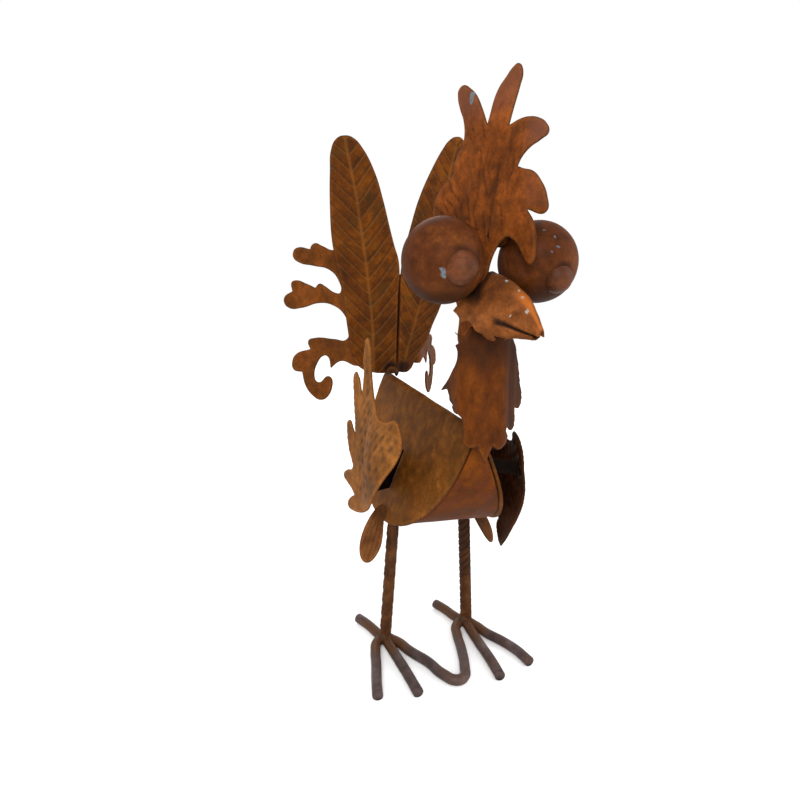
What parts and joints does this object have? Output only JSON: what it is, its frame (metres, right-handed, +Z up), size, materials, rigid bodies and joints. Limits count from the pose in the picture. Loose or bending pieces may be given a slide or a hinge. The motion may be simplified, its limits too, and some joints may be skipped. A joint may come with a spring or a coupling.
{
  "type": "rooster figurine",
  "caption": "Small standing rooster figure of cut, folded and embossed rusted steel sheet, with two large ball eyes, a tall comb, upright tail feathers and bent rod feet.",
  "frame": {"origin": "on the ground, at the middle of the figure's footprint box", "axes": "+Z up; the bird looks along -Y, and its left side is +X"},
  "size_m": [0.0794, 0.1448, 0.2019],
  "materials": {
    "beak": "rusted all over, matt brown, with small worn spots",
    "belly_band": "rusted all over, matt brown, with small worn spots",
    "body_shell": "rusted all over, matt brown, with small worn spots",
    "comb_sheet": "rusted all over, matt brown, with small worn spots",
    "eye_ball_left": "rusted all over, matt brown, with small worn spots",
    "eye_ball_right": "rusted all over, matt brown, with small worn spots",
    "leg_left": "rusted all over, matt brown, with small worn spots",
    "leg_right": "rusted all over, matt brown, with small worn spots",
    "neck_hackle": "rusted all over, matt brown, with small worn spots",
    "pupil_left": "rusted all over, matt brown, with small worn spots",
    "pupil_right": "rusted all over, matt brown, with small worn spots",
    "tail_feather_left": "rusted all over, matt brown, with small worn spots",
    "tail_feather_right": "rusted all over, matt brown, with small worn spots",
    "tail_fringe": "rusted all over, matt brown, with small worn spots",
    "tail_tab": "rusted all over, matt brown, with small worn spots",
    "thigh_leaf_left": "rusted all over, matt brown, with small worn spots",
    "thigh_leaf_right": "rusted all over, matt brown, with small worn spots",
    "toe_back_left": "rusted all over, matt brown, with small worn spots",
    "toe_back_right": "rusted all over, matt brown, with small worn spots",
    "toe_middle_left": "rusted all over, matt brown, with small worn spots",
    "toe_middle_right": "rusted all over, matt brown, with small worn spots",
    "toe_zigzag": "rusted all over, matt brown, with small worn spots",
    "wing_left": "rusted all over, matt brown, with small worn spots",
    "wing_right": "rusted all over, matt brown, with small worn spots",
    "wing_strap_left": "rusted all over, matt brown, with small worn spots",
    "wing_strap_right": "rusted all over, matt brown, with small worn spots"
  },
  "bodies": {
    "root": {"beak": "beak", "belly_band": "belly_band", "body_shell": "body_shell", "comb_sheet": "comb_sheet", "eye_ball_left": "eye_ball_left", "eye_ball_right": "eye_ball_right", "leg_left": "leg_left", "leg_right": "leg_right", "neck_hackle": "neck_hackle", "pupil_left": "pupil_left", "pupil_right": "pupil_right", "tail_feather_left": "tail_feather_left", "tail_feather_right": "tail_feather_right", "tail_fringe": "tail_fringe", "tail_tab": "tail_tab", "thigh_leaf_left": "thigh_leaf_left", "thigh_leaf_right": "thigh_leaf_right", "toe_back_left": "toe_back_left", "toe_back_right": "toe_back_right", "toe_middle_left": "toe_middle_left", "toe_middle_right": "toe_middle_right", "toe_zigzag": "toe_zigzag", "wing_left": "wing_left", "wing_right": "wing_right", "wing_strap_left": "wing_strap_left", "wing_strap_right": "wing_strap_right"}
  },
  "joints": []
}
